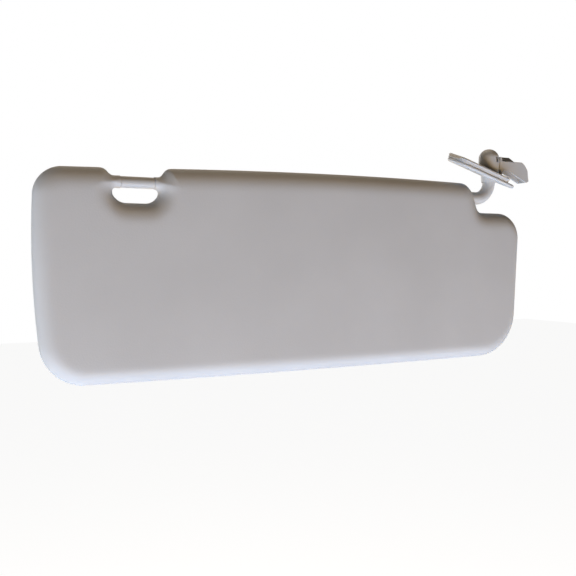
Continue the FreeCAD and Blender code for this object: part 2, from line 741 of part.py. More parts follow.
cells_row = housing_body.newObject("PartDesign::LinearPattern", "cells_row")
cells_row.Originals = [cell_pocket]
cells_row.Direction = (cell, ["H_Axis"])
cells_row.Occurrences = CELL_COUNT
bind(cells_row, Length=f"{CELL_COUNT - 1} * (cell_long + cell_rib)")
housing_body.Tip = cells_row

# Detent spring: a strip bent into a bridge over the rod, standing on the window's floor

spring_body = body("detent_clip")
bridge = new_sketch(spring_body, "bridge", "YZ_Plane", window_in + " + (window_long - spring_long) / 2")
inner = "rod_dia / 2 + spring_gap"
outer = "rod_dia / 2 + spring_gap + spring_thick"
outline(bridge, [
    (f"-({outer})", outer), (outer, outer), (outer, "-window_down"), (inner, "-window_down"),
    (inner, inner), (f"-({inner})", inner), (f"-({inner})", "-window_down"),
    (f"-({outer})", "-window_down"),
])
bridge_pad = pad(spring_body, bridge, "spring_long")
doc.recompute()


def top_corner(radius_at):
    """A test for the edges along X at the corners of the bridge."""
    def test(edge):
        first, last = edge.Vertexes[0].Point, edge.Vertexes[-1].Point
        along = abs(first.x - last.x) > 1
        return along and abs(abs(first.y) - radius_at) < 0.01 and abs(first.z - radius_at) < 0.01
    return test


inner_corners = edges_where(bridge_pad, top_corner(size(inner)))
inner_soft = soften(spring_body, bridge_pad, inner_corners, "spring_bend")
outer_corners = edges_where(inner_soft, top_corner(size(outer)))
soften(spring_body, inner_soft, outer_corners, "spring_bend + spring_thick")
piece(spring_body, "detent_clip", on_rod=True)

# Lid over the window, held by two small screws

lid_face = "-housing_thick / 2"
lid_low = window_in + " - lid_lap"
lid_high = window_out + " + lid_lap"
lid_block = box(
    "lid_block", (lid_low, lid_face + " - lid_thick", "-window_down - lid_edge"),
    (lid_high, lid_face, "window_up + lid_brow"),
)
screw_spots = [lid_low + " + lid_lap / 2", lid_high + " - lid_lap / 2"]
lid_holes = [
    cylinder(
        f"lid_hole_{number}", "lid_screw_dia / 2", "3 * lid_thick",
        (spot, lid_face + " - 2 * lid_thick", "-window_down"), "Y",
    )
    for number, spot in enumerate(screw_spots)
]
piece(cut("housing_lid_cut", lid_block, *lid_holes), "housing_lid", on_rod=True)
lid_screws = []
for number, spot in enumerate(screw_spots):
    shank = cylinder(
        f"screw_shank_{number}", "lid_screw_dia / 2", "lid_screw_long",
        (spot, lid_face + " - lid_thick", "-window_down"), "Y",
    )
    head = cylinder(
        f"screw_head_{number}", "lid_head_dia / 2", "lid_head_high",
        (spot, lid_face + " - lid_thick - lid_head_high", "-window_down"), "Y",
    )
    lid_screws.append(join(f"lid_screw_{number}", shank, head))
pair = doc.addObject("Part::Compound", "lid_screw_pair")
pair.Links = lid_screws
piece(pair, "lid_screws", on_rod=True)
screw_ways = [
    cylinder(
        f"screw_way_{number}", "lid_screw_dia / 2", "lid_screw_long - lid_thick",
        (spot, lid_face, "-window_down"), "Y",
    )
    for number, spot in enumerate(screw_spots)
]
housing_wire_way = cylinder(
    "housing_wire_way", "wire_dia / 2 + press_gap", "wire_grip", (wire_x, "0", "-housing_down")
)
piece(
    cut("hinge_housing_cut", housing_body, housing_wire_way, *screw_ways), "hinge_housing", on_rod=True
)

# Nose bush: carries the sleeve of the arm where it enters the panel

bush_body = body("mouth_bush")
bush_profile = new_sketch(bush_body, "bush_profile", "XZ_Plane")
bush_left = "-bush_start - bush_long"
bush_bore = "sleeve_dia / 2 + running_gap"
outline(bush_profile, [
    (bush_left, bush_bore),
    (bush_left, "bush_flange_dia / 2"),
    (bush_left + " + bush_flange", "bush_flange_dia / 2"),
    (bush_left + " + bush_flange", "bush_dia / 2"),
    ("-bush_start", "bush_dia / 2"),
    ("-bush_start", bush_bore),
])
turn(bush_body, bush_profile, "H_Axis")
piece(bush_body, "mouth_bush", on_rod=True)

# Foam core: the half panel inside the cover, with pockets for what it holds

housing_way = box(
    "housing_way",
    (housing_end + " - pocket_gap", "-housing_thick / 2 - pocket_gap", "-housing_down - pocket_gap"),
    ("-housing_start + pocket_gap", "housing_thick / 2 + pocket_gap", "housing_up + pocket_gap"),
)
lid_way = box(
    "lid_way",
    (lid_low + " - pocket_gap", lid_face + " - lid_thick - lid_head_high - pocket_gap",
     "-window_down - lid_edge - pocket_gap"),
    (lid_high + " + pocket_gap", "0", "window_up + lid_brow + pocket_gap"),
)
rod_way = cylinder(
    "rod_way", "sleeve_dia / 2 + clear_gap", "housing_start - bush_start",
    ("-housing_start", "0", "0"), "X",
)
bush_way = cylinder(
    "bush_way", "bush_dia / 2 + pocket_gap", "bush_long", ("-bush_start - bush_long", "0", "0"), "X",
)
flange_way = cylinder(
    "flange_way", "bush_flange_dia / 2 + pocket_gap", "bush_flange + pocket_gap",
    ("-bush_start - bush_long", "0", "0"), "X",
)
socket_ways = [
    box(
        f"socket_way_{number}",
        (low + " - pocket_gap", "-socket_thick / 2 - pocket_gap", "-socket_down - pocket_gap"),
        (high + " + pocket_gap", "socket_thick / 2 + pocket_gap", "socket_up + pocket_gap"),
    )
    for number, (low, high) in enumerate((
        (inboard_mouth + " - socket_long", inboard_mouth),
        (outboard_mouth, outboard_mouth + " + socket_long"),
    ))
]
core_front = piece(
    cut(
        "core_front_cut", core_form, wire_way, housing_way, lid_way, rod_way, bush_way, flange_way,
        arm_way, spigot_way, *socket_ways,
    ),
    "core_front", on_rod=True,
)
core_rear_half = cut(
    "core_rear_form", core_form, wire_way, housing_way, rod_way, bush_way, flange_way,
    arm_way, spigot_way, *socket_ways,
)

# Rear halves: the front halves mirrored in the middle plane

def mirrored(name, source, label):
    made = doc.addObject("Part::Mirroring", name)
    made.Source = source
    made.Normal = Vector(0, 1, 0)
    made.Base = Vector(0, 0, 0)
    made.Label = label
    PIECES.append(made)
    return made


mirrored("rear_cover_mirror", front_cover, "rear_cover")
core_rear_half.setExpression("Placement.Base.z", cells("-rod_drop"))
mirrored("core_rear_mirror", core_rear_half, "core_rear")

# Arm: the bent rod, its sleeve, and what keeps them in their bearings

arm_route = [("0", "rod_drop + rod_top"), ("0", "0"), ("-rod_reach", "0")]
rod_body = bent_rod("pivot_rod", arm_route, "arm_bend", "rod_dia / 2")
rod_pipe = rod_body.Tip
doc.recompute()
ends = edges_where(
    rod_pipe,
    lambda edge: edge.Closed and abs(edge.Curve.Radius - size("rod_dia / 2")) < 0.01
    and (edge.BoundBox.ZMin > size("rod_top") or edge.BoundBox.XMax < -size("rod_reach") + 1),
)
tips = rod_body.newObject("PartDesign::Chamfer", "tips")
tips.Base = (rod_pipe, ends)
bind(tips, Size="rod_chamfer")
doc.recompute()
stack_low = "swivel_bush_low + swivel_bush_long"
washer_top = stack_low + " + washer_thick"
cone_low = washer_top + " + clear_gap"
ring_low = cone_low + " + cone_high"
groove = new_sketch(rod_body, "groove", "XZ_Plane")
groove_top = f"rod_drop + {ring_low} + ring_thick + press_gap"
groove_floor = f"rod_drop + {ring_low} - press_gap"
outline(groove, [
    ("groove_dia / 2", groove_top), ("rod_dia", groove_top),
    ("rod_dia", groove_floor), ("groove_dia / 2", groove_floor),
])
turn(rod_body, groove, "V_Axis", kind="Groove")
flat = new_sketch(rod_body, "flat", "XZ_Plane")
outline(flat, [
    (window_in, "rod_dia"), (window_out, "rod_dia"),
    (window_out, "rod_dia / 2 - flat_depth"), (window_in, "rod_dia / 2 - flat_depth"),
])
pocket(rod_body, flat, "2 * rod_dia", middle=True)
piece(rod_body, "pivot_rod", on_rod=True)

sleeve_route = [("0", "rod_drop + sleeve_top"), ("0", "0"), ("-sleeve_reach", "0")]
sleeve_form = bent_rod("sleeve_form", sleeve_route, "arm_bend", "sleeve_dia / 2")
sleeve_bore = bent_rod("sleeve_bore", arm_route, "arm_bend", "rod_dia / 2 + press_gap")
piece(cut("arm_sleeve_cut", sleeve_form, sleeve_bore), "arm_sleeve", on_rod=True)

collar_body = body("rod_collar")
collar_ring = new_sketch(collar_body, "collar_ring", "YZ_Plane", "-rod_reach + collar_back")
circle(collar_ring, "collar_dia / 2")
circle(collar_ring, "rod_dia / 2 + press_gap")
pad(collar_body, collar_ring, "collar_wide")
piece(collar_body, "rod_collar", on_rod=True)

# Bearing stack on the upright leg, from the bush up to the retaining ring


def turned_ring(name, bore, rim, low, high):
    """A plain ring about the upright axis between two heights."""
    made = body(name)
    shape = new_sketch(made, name + "_outline", "XY_Plane", low)
    circle(shape, rim)
    circle(shape, bore)
    pad(made, shape, f"({high}) - ({low})")
    return made


piece(
    turned_ring(
        "swivel_bush", "rod_dia / 2 + running_gap", "swivel_bush_dia / 2", "swivel_bush_low", stack_low
    ),
    "swivel_bush",
)
piece(
    turned_ring("thrust_washer", "rod_dia / 2 + clear_gap", "washer_dia / 2", stack_low, washer_top),
    "thrust_washer",
)
cone_body = body("spring_washer")
cone_profile = new_sketch(cone_body, "cone_profile", "XZ_Plane")
cone_bore = "rod_dia / 2 + running_gap"
outline(cone_profile, [
    (cone_bore, cone_low + " + cone_high"),
    (cone_bore + " + cone_thick", cone_low + " + cone_high"),
    ("cone_dia / 2", cone_low + " + cone_thick"),
    ("cone_dia / 2", cone_low),
    ("cone_dia / 2 - cone_thick", cone_low),
    (cone_bore, cone_low + " + cone_high - cone_thick"),
])
turn(cone_body, cone_profile, "V_Axis")
piece(cone_body, "spring_washer")
ring_body = turned_ring(
    "retaining_ring", "groove_dia / 2 + press_gap", "ring_dia / 2",
    ring_low, ring_low + " + ring_thick",
)
mouth = new_sketch(ring_body, "ring_mouth_cut", "XY_Plane", ring_low)
outline(mouth, [
    ("0", "ring_mouth / 2"), ("ring_dia", "ring_mouth / 2"),
    ("ring_dia", "-ring_mouth / 2"), ("0", "-ring_mouth / 2"),
])
pocket(ring_body, mouth, "ring_thick", reverse=True)
piece(ring_body, "retaining_ring")

# Bracket: trim plate, moulded base with boss and hook, cap and screw sleeve
#
# The plate and the base's block lie in the roof's slope, and the boss and hook stand upright.

def plate_form(name, low, high, grow, out, radius, edge, both):
    """A rounded plate in the roof's slope, between two heights over the seat."""
    made = body(name)
    shape = new_sketch(made, name + "_outline", "XY_Plane", low)
    left, right, side = f"-plate_in - ({grow})", out, f"plate_deep / 2 + ({grow})"
    outline(shape, [(left, side), (right, side), (right, f"-({side})"), (left, f"-({side})")])
    solid = pad(made, shape, f"({high}) - ({low})")
    doc.recompute()
    upright = edges_where(solid, lambda e: abs(e.Vertexes[0].Z - e.Vertexes[-1].Z) > 0.1)
    solid = soften(made, solid, upright, radius)
    faces = faces_where(solid, flat_at("z", size(high)))
    if both:
        faces += faces_where(solid, flat_at("z", size(low)))
    soften(made, solid, faces, edge)
    return made


plate_body = plate_form(
    "plate_form", "-plate_thick", "0", "0", "plate_out", "plate_round", "plate_rim", True
)
slope(plate_body)
screw_way = new_sketch(plate_body, "screw_way", "XY_Plane")
circle(screw_way, "screw_hole / 2", f"-{screw_side}")
through = pocket(plate_body, screw_way, "plate_thick")
doc.recompute()
sink = plate_body.newObject("PartDesign::Chamfer", "screw_sink")
sink.Base = (through, edges_where(
    through,
    lambda edge: edge.Closed and abs(edge.Curve.Radius - size("screw_hole / 2")) < 0.01
    and edge.BoundBox.ZMax < -size("plate_thick / 2"),
))
bind(sink, Size="screw_sink")
under = doc.addObject("Part::Cone", "under_plate_collar")
bind(under, Radius1="skirt_dia / 2", Radius2="skirt_foot_dia / 2", Height="2 * skirt_drop")
under.setExpression("Placement.Base.z", cells("-skirt_drop"))


def roof_side(name, up):
    """A thick slab on one side of the seat plane, to trim upright parts to the roof's slope."""
    made = body(name)
    shape = new_sketch(made, name + "_outline", "XY_Plane")
    far = "2 * plate_in"
    outline(shape, [("-" + far, far), (far, far), (far, "-" + far), ("-" + far, "-" + far)])
    pad(made, shape, far, reverse=not up)
    return slope(made)


arm_hole = cylinder(
    "arm_hole", "sleeve_dia / 2 + clear_gap", "2 * plate_in", ("0", "0", "-plate_in")
)
plate_and_collar = join(
    "plate_and_collar", plate_body, cut("collar_below_seat", under, roof_side("above_seat", True))
)
piece(cut("trim_plate_cut", plate_and_collar, arm_hole), "trim_plate")

block_body = plate_form(
    "block_form", "0", "block_high", "-block_inset", "plate_out - block_setback",
    "block_round", "block_edge", False,
)
# Open cells under the block, between the boss and the screw sleeve
block_cells = new_sketch(block_body, "block_cells", "XY_Plane")
first_cell = f"-{screw_side} + limiter_dia / 2 + cell_wall"
outline(block_cells, [
    (first_cell, "plate_deep / 2 - block_inset - cell_wall"),
    (first_cell + " + block_cell", "plate_deep / 2 - block_inset - cell_wall"),
    (first_cell + " + block_cell", "cell_wall / 2"),
    (first_cell, "cell_wall / 2"),
])
cell_cut = pocket(block_body, block_cells, "block_cell_deep", reverse=True)
doc.recompute()
cell_mirror = block_body.newObject("PartDesign::Mirrored", "cell_mirror")
cell_mirror.Originals = [cell_cut]
cell_mirror.MirrorPlane = (origin_plane(block_body, "XZ_Plane"), [""])
block_body.Tip = cell_mirror
slope(block_body)
limiter_room = body("limiter_room")
limiter_bore = new_sketch(limiter_room, "limiter_room_outline", "XY_Plane")
circle(limiter_bore, "limiter_dia / 2 + press_gap", f"-{screw_side}")
pad(limiter_room, limiter_bore, "block_high")
slope(limiter_room)

cap_rim = "(boss_dia / 2 - cap_inset)"
boss_body = body("boss")
boss_outline = new_sketch(boss_body, "boss_outline", "XZ_Plane")
outline(boss_outline, [
    ("0", "boss_top"), (f"{cap_rim} + boss_step", "boss_top"), ("boss_dia / 2", "boss_top - boss_shoulder"),
    ("boss_dia / 2", "-plate_deep"), ("0", "-plate_deep"),
], {1: "boss_dia / 2"})
turn(boss_body, boss_outline, "V_Axis")

# Hook: an upside-down channel from the boss outboard, with a turned-down tip
hook_body = body("hook")
hook_side = new_sketch(hook_body, "hook_side", "XZ_Plane")
outline(hook_side, [
    ("0", "hook_crest"),
    (hook_level, "hook_crest"),
    (hook_shoulder, "hook_crest - hook_fall"),
    ("hook_reach - hook_lean", "hook_end"),
    ("hook_reach", "hook_lean - hook_tip"),
    ("hook_reach - hook_tip_wide", "-hook_tip"),
    ("hook_throat_long", "hook_throat"),
    ("0", "hook_throat"),
])
hook_pad = pad(hook_body, hook_side, "hook_wide", middle=True)
doc.recompute()
soften(
    hook_body, hook_pad,
    edges_where(hook_pad, lambda e: e.BoundBox.XMax > 1 and e.BoundBox.ZMax > size("hook_throat") + 1),
    "hook_soft",
)
hollow = new_sketch(hook_body, "hollow", "XZ_Plane")
outline(hollow, [
    ("boss_dia / 2 + hook_wall", "hook_crest - hook_wall"),
    (hook_level, "hook_crest - hook_wall"),
    (f"{hook_shoulder} - hook_wall", "hook_crest - hook_fall - hook_wall"),
    ("hook_reach - hook_lean - hook_wall", "hook_end - hook_wall / 2"),
    ("hook_reach - hook_lean - hook_wall", "-hook_tip - hook_wall"),
    ("hook_throat_long", "hook_throat - hook_wall"),
    ("boss_dia / 2 + hook_wall", "hook_throat - hook_wall"),
])
pocket(hook_body, hollow, "hook_wide - 2 * hook_wall", middle=True)
rib_body = body("hook_rib")
rib_side = new_sketch(rib_body, "rib_side", "XZ_Plane", "-hook_wide / 2")
outline(rib_side, [
    ("0", "hook_crest + hook_rib_high"),
    ("hook_reach - hook_rib_foot - hook_rib_fall", "hook_crest + hook_rib_high"),
    ("hook_reach - hook_rib_foot", "hook_crest"),
    ("hook_reach - hook_rib_foot", "hook_crest - hook_wall"),
    ("0", "hook_crest - hook_wall"),
])
pad(rib_body, rib_side, "hook_rib_wide")
web = box(
    "web", ("boss_dia / 2 - web_thick / 2", "-hook_wide / 2 - hook_soft", "0"),
    ("boss_dia / 2 + web_thick / 2", "hook_wall - hook_wide / 2", "hook_crest + web_above"),
)
boss_slot = box(
    "boss_slot", ("boss_slot_side - boss_slot_wide / 2", "-boss_dia", "boss_slot_low"),
    ("boss_slot_side + boss_slot_wide / 2", "0", "boss_top - cap_plug - hook_soft"),
)
sleeve_seat = cylinder(
    "sleeve_seat", "sleeve_dia / 2 + clear_gap", "plate_in + swivel_bush_low", ("0", "0", "-plate_in")
)
bush_seat = cylinder(
    "bush_seat", "swivel_bush_dia / 2 + press_gap", "boss_top", ("0", "0", "swivel_bush_low")
)
upright = cut(
    "upright_above_seat", join("upright_parts", boss_body, hook_body, rib_body, web),
    roof_side("below_seat", False),
)
lip_body = plate_form(
    "block_lip", "lip_low", "lip_low + lip_thick", "lip_over - block_inset",
    "plate_out - block_setback + lip_over", "block_round + lip_over", "lip_thick / 3", True,
)
slope(lip_body)
# The block's inboard end slopes up at 45 degrees from its toe
ramp_body = body("block_ramp")
ramp_side = new_sketch(ramp_body, "ramp_side", "XZ_Plane")
ramp_foot = "-plate_in + block_inset - lip_over"
outline(ramp_side, [
    (ramp_foot + " - block_high", "2 * block_high"),
    (ramp_foot + " + 2 * block_high - block_toe", "2 * block_high"),
    (ramp_foot + " - block_high", "block_toe - block_high"),
])
pad(ramp_body, ramp_side, "2 * plate_deep", middle=True)
slope(ramp_body)
base_form = join("base_form", block_body, lip_body, upright)
piece(
    cut("bracket_base_cut", base_form, sleeve_seat, bush_seat, boss_slot, limiter_room, ramp_body),
    "bracket_base",
)

limiter = body("screw_sleeve")
limiter_ring = new_sketch(limiter, "limiter_ring", "XY_Plane")
circle(limiter_ring, "limiter_dia / 2", f"-{screw_side}")
circle(limiter_ring, "limiter_bore / 2", f"-{screw_side}")
pad(limiter, limiter_ring, "block_high")
piece(limiter, "screw_sleeve", on_roof=True)

# Cap: a shallow dome that closes the top of the boss, with a rim that plugs into the bore
cap_body = body("boss_cap")
cap_profile = new_sketch(cap_body, "cap_profile", "XZ_Plane")
plug = "swivel_bush_dia / 2"
outline(cap_profile, [
    ("0", "boss_top + cap_high"),
    (cap_rim, "boss_top"),
    (plug, "boss_top"),
    (plug, "boss_top - cap_plug"),
    (plug + " - cap_wall / 2", "boss_top - cap_plug"),
    (plug + " - cap_wall / 2", "boss_top + cap_wall / 2"),
    ("0", "boss_top + cap_high - cap_wall"),
], {0: f"({cap_rim} * {cap_rim} + cap_high * cap_high) / (2 * cap_high)"})
turn(cap_body, cap_profile, "V_Axis")
piece(cap_body, "boss_cap")

doc.recompute()

# Check every object, then write each sub-part
for thing in doc.Objects:
    if "Invalid" in thing.State or "Error" in thing.State:
        raise RuntimeError(f"{thing.Name} ({thing.Label}) failed: {thing.State}")
os.makedirs("parts", exist_ok=True)
for thing in PIECES:
    shape = thing.Shape
    if shape.isNull() or not shape.isValid() or shape.Volume <= 0:
        raise RuntimeError(thing.Label + " has no valid solid")
    print(f"{thing.Label:20} {len(shape.Solids):2} solid(s) {shape.Volume:10.1f} mm3")
    shape.exportStep(f"parts/{thing.Label}.step")
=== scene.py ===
# %% [markdown]
# # A car sun visor
#
# The visor is a padded panel that hangs from a bent arm, and the arm turns in a bracket on the
# sloping roof. This notebook dresses the finished solids: it gives the panel its soft moulded
# skin, gives every part a finish of its own, and sets up the light, the floor and the camera.
#
# Everything is in metres and in one frame. +Z is up, +X points to the side window, and -Y is
# the face of the hanging panel that looks at the windscreen.

import json
import math

import bmesh
import bpy
import numpy as np
from mathutils import Matrix, Vector
from mathutils.geometry import delaunay_2d_cdt


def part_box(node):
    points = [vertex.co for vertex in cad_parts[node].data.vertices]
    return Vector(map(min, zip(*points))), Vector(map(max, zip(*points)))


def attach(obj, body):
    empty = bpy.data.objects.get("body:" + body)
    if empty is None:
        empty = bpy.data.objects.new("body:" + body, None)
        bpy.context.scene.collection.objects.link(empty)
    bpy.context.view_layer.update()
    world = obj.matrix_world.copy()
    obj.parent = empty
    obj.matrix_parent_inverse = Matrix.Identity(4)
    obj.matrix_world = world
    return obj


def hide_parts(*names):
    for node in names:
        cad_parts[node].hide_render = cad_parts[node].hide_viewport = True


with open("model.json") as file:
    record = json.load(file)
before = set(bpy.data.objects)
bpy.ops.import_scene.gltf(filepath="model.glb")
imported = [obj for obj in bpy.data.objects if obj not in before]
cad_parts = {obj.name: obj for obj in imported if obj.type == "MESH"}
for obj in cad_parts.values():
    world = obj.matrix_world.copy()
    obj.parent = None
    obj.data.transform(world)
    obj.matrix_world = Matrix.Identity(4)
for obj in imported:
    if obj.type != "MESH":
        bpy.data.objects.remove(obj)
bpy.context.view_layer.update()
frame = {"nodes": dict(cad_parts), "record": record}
MM = 0.001
rod_height = sum(corner.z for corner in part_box("support_pin")) / 2
print("solids:", len(frame["nodes"]), "rod axis at z =", round(rod_height / MM, 2), "mm")

# %% [markdown]
# ## The camera
#
# The photograph was taken from the inboard end, level with the panel and close to it, so the
# inboard end looks much taller than the outboard one. Only a camera at the right distance gives
# that. It is placed by its position and three directions, which a rotation matrix holds as
# columns: right, up, and backwards.

# %% Camera
CAMERA_PLACE = (-0.5189, -0.5700, rod_height - 0.0558)
CAMERA_VIEW = (0.47371, 0.87993, -0.03629)

camera_data = bpy.data.cameras.new("camera")
camera_data.lens = 50
camera_data.sensor_width = 36
camera = bpy.data.objects.new("camera", camera_data)
forward = Vector(CAMERA_VIEW).normalized()
right = forward.cross(Vector((0, 0, 1))).normalized()
up = right.cross(forward)
turned = Matrix((right, up, -forward)).transposed().to_4x4()
camera.matrix_world = Matrix.Translation(CAMERA_PLACE) @ turned
scene = bpy.context.scene
scene.collection.objects.link(camera)
scene.camera = camera
print("camera at", [round(v, 3) for v in camera.location])
print("it looks along", [round(v, 3) for v in forward])

# %% [markdown]
# ## Light
#
# In the photograph the light comes from low down, in front and on the left: every edge that
# turns down is bright and cool, and every edge that turns up is dark and warm. Two long soft
# lamps do that. The cool one stands lower and nearer, so it leaves an upward slope first, and
# only the warm one still reaches that slope. Weaker lamps light the two ends, fill in from
# above and light the back, which the photograph doesn't show.

# %% Lamps
scene.view_settings.view_transform = "Standard"


def lamp(name, position, target, width, height, power, colour):
    """A soft rectangular lamp that looks at a point."""
    data = bpy.data.lights.new(name, "AREA")
    data.shape = "RECTANGLE"
    data.size = width
    data.size_y = height
    data.energy = power
    data.color = colour
    holder = bpy.data.objects.new(name, data)
    holder.location = position
    aim = Vector(target) - Vector(position)
    holder.rotation_euler = aim.to_track_quat("-Z", "Y").to_euler()
    holder.visible_camera = False
    scene.collection.objects.link(holder)


panel_middle = (-0.19, 0.0, rod_height - 0.065)
LAMPS = [
    # name, place, width and height in metres, power in watts, colour
    ("low_warm", (-0.15, -0.90, -1.05), 2.4, 0.6, 21.4, (1.0, 0.63, 0.20)),
    ("low_cool", (-0.22, -0.60, -1.15), 2.4, 0.6, 24.0, (0.07, 0.46, 1.0)),
    ("left_side", (-1.45, -0.45, -0.45), 0.9, 0.9, 6.4, (0.85, 0.92, 1.0)),
    ("left_behind", (-1.45, 0.35, -0.50), 0.9, 0.9, 6.0, (0.96, 0.97, 1.0)),
    ("right_side", (1.30, -0.15, -0.35), 0.7, 0.7, 3.0, (0.95, 0.97, 1.0)),
    ("high_fill", (0.2, 0.5, 1.6), 1.6, 1.6, 14.0, (1.0, 0.82, 0.62)),
    ("behind", (-0.20, 1.30, -0.10), 1.6, 1.6, 15.0, (1.0, 0.98, 0.95)),
]
for name, place, width, height, power, colour in LAMPS:
    lamp(name, place, panel_middle, width, height, power, colour)

# %% [markdown]
# The world and the floor each mix two shaders. What the camera sees itself is plain white. What
# lights the visor is much weaker: a faint warm sky, and a floor that only sends lamp light back.
# So neither washes out the dark edges, and the floor still takes the visor's soft shadow.

# %% World and floor
SKY_STRENGTH = 0.02
FLOOR_LEVEL = -1.35
FLOOR_HALF = 12.0
# With the lamps' own light on it, this glow brings the floor up to the white of the backdrop
FLOOR_GLOW = 0.93

world = bpy.data.worlds.new("studio")
scene.world = world
world.use_nodes = True
nodes, links = world.node_tree.nodes, world.node_tree.links
nodes.clear()


def seen_directly(nodes, links):
    """A factor that is 1 for what the camera sees itself, also through glass."""
    path = nodes.new("ShaderNodeLightPath")
    either = nodes.new("ShaderNodeMath")
    either.operation = "MAXIMUM"
    links.new(path.outputs["Is Camera Ray"], either.inputs[0])
    links.new(path.outputs["Is Transmission Ray"], either.inputs[1])
    return either.outputs[0]


ambient = nodes.new("ShaderNodeBackground")
ambient.inputs["Color"].default_value = (1.0, 0.90, 0.74, 1)
ambient.inputs["Strength"].default_value = SKY_STRENGTH
white = nodes.new("ShaderNodeBackground")
white.inputs["Color"].default_value = (1, 1, 1, 1)
white.inputs["Strength"].default_value = 1.0
chosen = nodes.new("ShaderNodeMixShader")
output = nodes.new("ShaderNodeOutputWorld")
links.new(seen_directly(nodes, links), chosen.inputs[0])
links.new(ambient.outputs[0], chosen.inputs[1])
links.new(white.outputs[0], chosen.inputs[2])
links.new(chosen.outputs[0], output.inputs["Surface"])

floor_mesh = bpy.data.meshes.new("floor")
floor_corners = [
    (x * FLOOR_HALF, y * FLOOR_HALF, FLOOR_LEVEL) for x, y in ((-1, -1), (1, -1), (1, 1), (-1, 1))
]
floor_mesh.from_pydata(floor_corners, [], [(0, 1, 2, 3)])
floor = bpy.data.objects.new("floor", floor_mesh)
scene.collection.objects.link(floor)
floor_paint = bpy.data.materials.new("floor_paint")
floor_paint.use_nodes = True
nodes, links = floor_paint.node_tree.nodes, floor_paint.node_tree.links
nodes.clear()
matt = nodes.new("ShaderNodeBsdfDiffuse")
matt.inputs["Color"].default_value = (0.8, 0.8, 0.8, 1)
glow = nodes.new("ShaderNodeEmission")
glow.inputs["Strength"].default_value = FLOOR_GLOW
both = nodes.new("ShaderNodeAddShader")
links.new(matt.outputs[0], both.inputs[0])
links.new(glow.outputs[0], both.inputs[1])
chosen = nodes.new("ShaderNodeMixShader")
output = nodes.new("ShaderNodeOutputMaterial")
links.new(seen_directly(nodes, links), chosen.inputs[0])
links.new(matt.outputs[0], chosen.inputs[1])
links.new(both.outputs[0], chosen.inputs[2])
links.new(chosen.outputs[0], output.inputs["Surface"])
floor_mesh.materials.append(floor_paint)
print("floor at z =", FLOOR_LEVEL, "m,", 2 * FLOOR_HALF, "m wide")

# %% [markdown]
# ## The panel's outline
#
# The panel's edge is a list of corners, each with the radius that rounds it. The list runs
# clockwise as the camera sees it, and is measured in millimetres from the arm's upright axis
# and from the rod's axis. The two necks that carry the support pin are part of the outline, so
# the skin flows into them in one surface, as a moulded cover does.

# %% Outline
PANEL_HALF = 10.0
NECK_RADIUS = 4.6
NECK_ENDS = (-350.4, -324.6)

CORNERS = [
    # x, z, radius
    (-411.0, 8.7, 21.0),
    (-362.8, 9.9, 8.0),
    (-356.8, 4.6, 3.0),
    (NECK_ENDS[0], NECK_RADIUS, 0.0),
    (NECK_ENDS[0], -NECK_RADIUS, 0.0),
    (-356.4, -4.6, 2.6),
    (-356.4, -9.4, 5.5),
    (-351.0, -15.1, 11.0),
    (-326.9, -15.1, 11.0),
    (-321.5, -9.4, 5.5),
    (-321.5, -4.6, 2.8),
    (NECK_ENDS[1], -NECK_RADIUS, 0.0),
    (NECK_ENDS[1], NECK_RADIUS, 0.0),
    (-319.8, 4.6, 4.5),
    (-314.6, 11.3, 7.0),
    (-29.6, 13.1, 13.0),
    (-21.8, 5.2, 14.0),
    (-15.2, -13.3, 7.6),
    (34.9, -13.3, 22.5),
    (27.6, -145.2, 41.0),
    (-405.1, -146.0, 33.0),
]
# Sides that bulge outwards: index of the side's first corner, and the radius of the bulge
BOWED = {14: 4900.0, 19: 18000.0, 20: 680.0}
# Sides that are a cut face, not a rounded edge
CUT_SIDES = {3, 11}


def inward(side, point):
    """How far a point lies inside one side of the outline, and the direction that grows it."""
    start, finish, bow = side
    ahead = finish - start
    length = np.linalg.norm(ahead)
    across = np.array([ahead[1], -ahead[0]]) / length
    if not bow:
        return (point - start) @ across, across
    centre = (start + finish) / 2 + across * math.sqrt(bow ** 2 - length ** 2 / 4)
    away = centre - point
    reach = np.linalg.norm(away)
    return bow - reach, away / reach


def round_corner(before, after, radius):
    """The centre of the circle that rounds a corner, and where the circle starts and ends."""
    corner = after[0]
    if radius == 0:
        return corner, corner, corner
    bend = np.cross(before[1] - before[0], after[1] - after[0])
    depth = radius if bend < 0 else -radius
    centre = corner.copy()
    # Newton's steps: beside a bowed side the circle's centre has no simple formula
    for _ in range(8):
        (first, grow_first), (second, grow_second) = inward(before, centre), inward(after, centre)
        centre += np.linalg.solve([grow_first, grow_second], [depth - first, depth - second])
    touch = [centre - depth * inward(side, centre)[1] for side in (before, after)]
    return centre, touch[0], touch[1]


